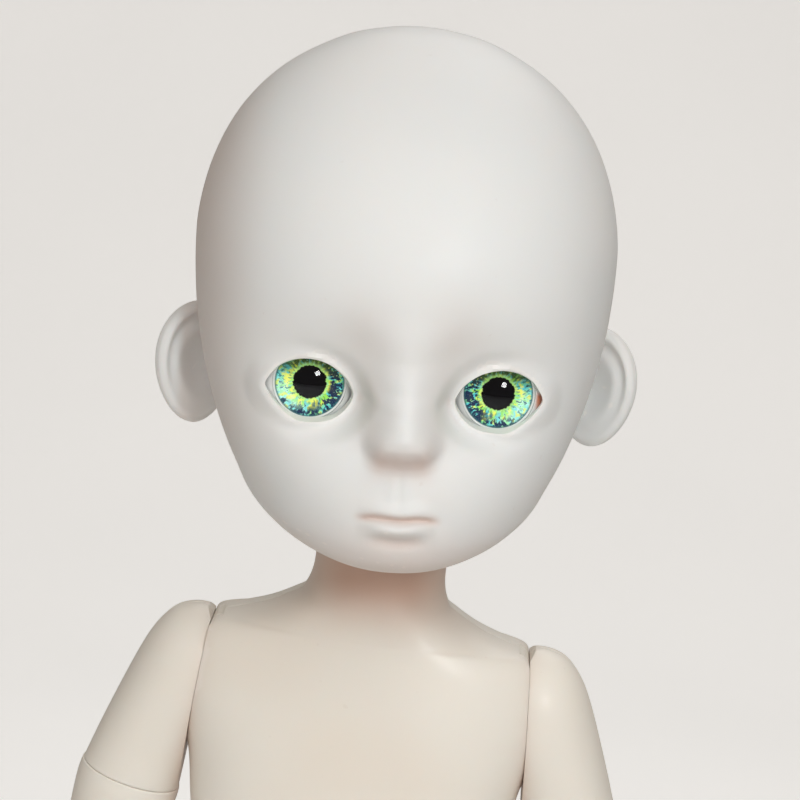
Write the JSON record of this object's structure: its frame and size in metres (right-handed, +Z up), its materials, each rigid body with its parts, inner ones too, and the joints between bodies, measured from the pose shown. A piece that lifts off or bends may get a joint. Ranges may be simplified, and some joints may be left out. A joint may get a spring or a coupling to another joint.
{
  "type": "ball jointed doll",
  "caption": "Standing jointed figure doll with an oversized bald head, glass-like eyes and hinged, turning limbs.",
  "frame": {"origin": "on the floor between the two soles, below the middle of the doll's bounding box", "axes": "+Z up from the soles to the crown, -Y the way the face looks, +X to the doll's left"},
  "size_m": [0.1018, 0.0694, 0.2995],
  "materials": {
    "head_vinyl": "smooth satin vinyl, cool white",
    "body_plastic": "smooth satin plastic, warm cream white",
    "joint_plastic": "satin plastic, a little darker than the body",
    "eye_white": "glossy white",
    "iris": "printed green iris with a dark pupil",
    "cornea": "clear polished dome"
  },
  "bodies": {
    "pelvis": {"pelvis_front": "body_plastic", "pelvis_back": "body_plastic"},
    "abdomen": {"abdomen": "body_plastic"},
    "chest": {"chest_front": "body_plastic", "chest_back": "body_plastic"},
    "neck_swivel": {"neck_swivel": "joint_plastic"},
    "neck_anchor": {"neck_anchor": "joint_plastic"},
    "head": {"head_shell": "head_vinyl", "eyeball_left": "eye_white", "eyeball_right": "eye_white", "iris_left": "iris", "iris_right": "iris", "cornea_left": "cornea", "cornea_right": "cornea"},
    "head_cap": {"head_cap": "head_vinyl"},
    "shoulder_hub_left": {"shoulder_hub_left": "joint_plastic"},
    "upper_arm_left": {"upper_arm_front_left": "body_plastic", "upper_arm_back_left": "body_plastic"},
    "bicep_left": {"bicep_left": "body_plastic"},
    "elbow_link_left": {"elbow_link_left": "joint_plastic"},
    "forearm_left": {"forearm_left": "body_plastic"},
    "wrist_ball_left": {"wrist_ball_left": "joint_plastic"},
    "hand_left": {"hand_left": "body_plastic"},
    "hip_hub_left": {"hip_hub_left": "joint_plastic"},
    "thigh_left": {"thigh_front_left": "body_plastic", "thigh_back_left": "body_plastic"},
    "lower_thigh_left": {"lower_thigh_left": "body_plastic"},
    "knee_link_left": {"knee_link_left": "joint_plastic"},
    "shin_left": {"shin_left": "body_plastic"},
    "ankle_ball_left": {"ankle_ball_left": "joint_plastic"},
    "foot_left": {"foot_left": "body_plastic"},
    "shoulder_hub_right": {"shoulder_hub_right": "joint_plastic"},
    "upper_arm_right": {"upper_arm_front_right": "body_plastic", "upper_arm_back_right": "body_plastic"},
    "bicep_right": {"bicep_right": "body_plastic"},
    "elbow_link_right": {"elbow_link_right": "joint_plastic"},
    "forearm_right": {"forearm_right": "body_plastic"},
    "wrist_ball_right": {"wrist_ball_right": "joint_plastic"},
    "hand_right": {"hand_right": "body_plastic"},
    "hip_hub_right": {"hip_hub_right": "joint_plastic"},
    "thigh_right": {"thigh_front_right": "body_plastic", "thigh_back_right": "body_plastic"},
    "lower_thigh_right": {"lower_thigh_right": "body_plastic"},
    "knee_link_right": {"knee_link_right": "joint_plastic"},
    "shin_right": {"shin_right": "body_plastic"},
    "ankle_ball_right": {"ankle_ball_right": "joint_plastic"},
    "foot_right": {"foot_right": "body_plastic"}
  },
  "joints": [
    {"name": "waist_twist", "type": "hinge", "parent": "pelvis", "child": "abdomen", "pos_m": [0, 0.003, 0.158], "axis": [0, 0, 1], "range_deg": [-30, 30]},
    {"name": "waist_bend", "type": "hinge", "parent": "abdomen", "child": "chest", "pos_m": [0, 0.003, 0.168], "axis": [1, 0, 0], "range_deg": [-12, 28]},
    {"name": "neck_turn", "type": "hinge", "parent": "chest", "child": "neck_swivel", "pos_m": [0, 0.003, 0.227], "axis": [0, 0, 1], "range_deg": [-80, 80]},
    {"name": "neck_nod", "type": "hinge", "parent": "neck_swivel", "child": "neck_anchor", "pos_m": [0, 0.003, 0.227], "axis": [1, 0, 0], "range_deg": [-15, 15]},
    {"name": "head_tilt", "type": "hinge", "parent": "neck_anchor", "child": "head", "pos_m": [0, 0.003, 0.227], "axis": [0, 1, 0], "range_deg": [-11, 18]},
    {"name": "head_cap_slide", "type": "slide", "parent": "head", "child": "head_cap", "axis": [-0.079, 0.9817, 0.1733], "range_m": [0, 0.03]},
    {"name": "shoulder_lift_left", "type": "hinge", "parent": "chest", "child": "shoulder_hub_left", "pos_m": [0.02164, 0.003, 0.21075], "axis": [0, 1, 0], "range_deg": [-60, 0]},
    {"name": "shoulder_swing_left", "type": "hinge", "parent": "shoulder_hub_left", "child": "upper_arm_left", "pos_m": [0.02385, 0.003, 0.203], "axis": [-0.9969, 0, -0.0785], "range_deg": [-60, 120]},
    {"name": "bicep_turn_left", "type": "hinge", "parent": "upper_arm_left", "child": "bicep_left", "pos_m": [0.03241, 0.003, 0.18628], "axis": [-0.213, 0, 0.977], "range_deg": [-90, 90]},
    {"name": "elbow_upper_left", "type": "hinge", "parent": "bicep_left", "child": "elbow_link_left", "pos_m": [0.03646, 0.003, 0.16772], "axis": [0.977, 0, 0.213], "range_deg": [-65, 0]},
    {"name": "elbow_lower_left", "type": "hinge", "parent": "elbow_link_left", "child": "forearm_left", "pos_m": [0.03846, 0.003, 0.15853], "axis": [0.977, 0, 0.213], "range_deg": [-65, 0]},
    {"name": "wrist_turn_left", "type": "hinge", "parent": "forearm_left", "child": "wrist_ball_left", "pos_m": [0.04487, 0.003, 0.12912], "axis": [-0.213, 0, 0.977], "range_deg": [-90, 90]},
    {"name": "wrist_bend_left", "type": "hinge", "parent": "wrist_ball_left", "child": "hand_left", "pos_m": [0.04487, 0.003, 0.12912], "axis": [0.977, 0, 0.213], "range_deg": [-30, 30]},
    {"name": "hip_lift_left", "type": "hinge", "parent": "pelvis", "child": "hip_hub_left", "pos_m": [0.01785, 0.003, 0.14934], "axis": [0, 1, 0], "range_deg": [-30, 0]},
    {"name": "hip_swing_left", "type": "hinge", "parent": "hip_hub_left", "child": "thigh_left", "pos_m": [0.0125, 0.003, 0.137], "axis": [-0.848, 0, 0.5299], "range_deg": [-20, 95]},
    {"name": "thigh_turn_left", "type": "hinge", "parent": "thigh_left", "child": "lower_thigh_left", "pos_m": [0.0124, 0.003, 0.115], "axis": [0, 0, -1], "range_deg": [-30, 30]},
    {"name": "knee_upper_left", "type": "hinge", "parent": "lower_thigh_left", "child": "knee_link_left", "pos_m": [0.0124, 0.003, 0.0822], "axis": [1, 0, 0], "range_deg": [0, 65]},
    {"name": "knee_lower_left", "type": "hinge", "parent": "knee_link_left", "child": "shin_left", "pos_m": [0.0124, 0.003, 0.0688], "axis": [1, 0, 0], "range_deg": [0, 65]},
    {"name": "ankle_turn_left", "type": "hinge", "parent": "shin_left", "child": "ankle_ball_left", "pos_m": [0.0124, 0.003, 0.014], "axis": [0, 0, 1], "range_deg": [-30, 30]},
    {"name": "ankle_bend_left", "type": "hinge", "parent": "ankle_ball_left", "child": "foot_left", "pos_m": [0.0124, 0.003, 0.014], "axis": [1, 0, 0], "range_deg": [-35, 30]},
    {"name": "shoulder_lift_right", "type": "hinge", "parent": "chest", "child": "shoulder_hub_right", "pos_m": [-0.02164, 0.003, 0.21075], "axis": [0, -1, 0], "range_deg": [-60, 0]},
    {"name": "shoulder_swing_right", "type": "hinge", "parent": "shoulder_hub_right", "child": "upper_arm_right", "pos_m": [-0.02385, 0.003, 0.203], "axis": [-0.9969, 0, 0.0785], "range_deg": [-60, 120]},
    {"name": "bicep_turn_right", "type": "hinge", "parent": "upper_arm_right", "child": "bicep_right", "pos_m": [-0.03241, 0.003, 0.18628], "axis": [-0.213, 0, -0.977], "range_deg": [-90, 90]},
    {"name": "elbow_upper_right", "type": "hinge", "parent": "bicep_right", "child": "elbow_link_right", "pos_m": [-0.03646, 0.003, 0.16772], "axis": [0.977, 0, -0.213], "range_deg": [-65, 0]},
    {"name": "elbow_lower_right", "type": "hinge", "parent": "elbow_link_right", "child": "forearm_right", "pos_m": [-0.03846, 0.003, 0.15853], "axis": [0.977, 0, -0.213], "range_deg": [-65, 0]},
    {"name": "wrist_turn_right", "type": "hinge", "parent": "forearm_right", "child": "wrist_ball_right", "pos_m": [-0.04487, 0.003, 0.12912], "axis": [-0.213, 0, -0.977], "range_deg": [-90, 90]},
    {"name": "wrist_bend_right", "type": "hinge", "parent": "wrist_ball_right", "child": "hand_right", "pos_m": [-0.04487, 0.003, 0.12912], "axis": [0.977, 0, -0.213], "range_deg": [-30, 30]},
    {"name": "hip_lift_right", "type": "hinge", "parent": "pelvis", "child": "hip_hub_right", "pos_m": [-0.01785, 0.003, 0.14934], "axis": [0, -1, 0], "range_deg": [-30, 0]},
    {"name": "hip_swing_right", "type": "hinge", "parent": "hip_hub_right", "child": "thigh_right", "pos_m": [-0.0125, 0.003, 0.137], "axis": [-0.848, 0, -0.5299], "range_deg": [-20, 95]},
    {"name": "thigh_turn_right", "type": "hinge", "parent": "thigh_right", "child": "lower_thigh_right", "pos_m": [-0.0124, 0.003, 0.115], "axis": [0, 0, 1], "range_deg": [-30, 30]},
    {"name": "knee_upper_right", "type": "hinge", "parent": "lower_thigh_right", "child": "knee_link_right", "pos_m": [-0.0124, 0.003, 0.0822], "axis": [1, 0, 0], "range_deg": [0, 65]},
    {"name": "knee_lower_right", "type": "hinge", "parent": "knee_link_right", "child": "shin_right", "pos_m": [-0.0124, 0.003, 0.0688], "axis": [1, 0, 0], "range_deg": [0, 65]},
    {"name": "ankle_turn_right", "type": "hinge", "parent": "shin_right", "child": "ankle_ball_right", "pos_m": [-0.0124, 0.003, 0.014], "axis": [0, 0, -1], "range_deg": [-30, 30]},
    {"name": "ankle_bend_right", "type": "hinge", "parent": "ankle_ball_right", "child": "foot_right", "pos_m": [-0.0124, 0.003, 0.014], "axis": [1, 0, 0], "range_deg": [-35, 30]}
  ]
}
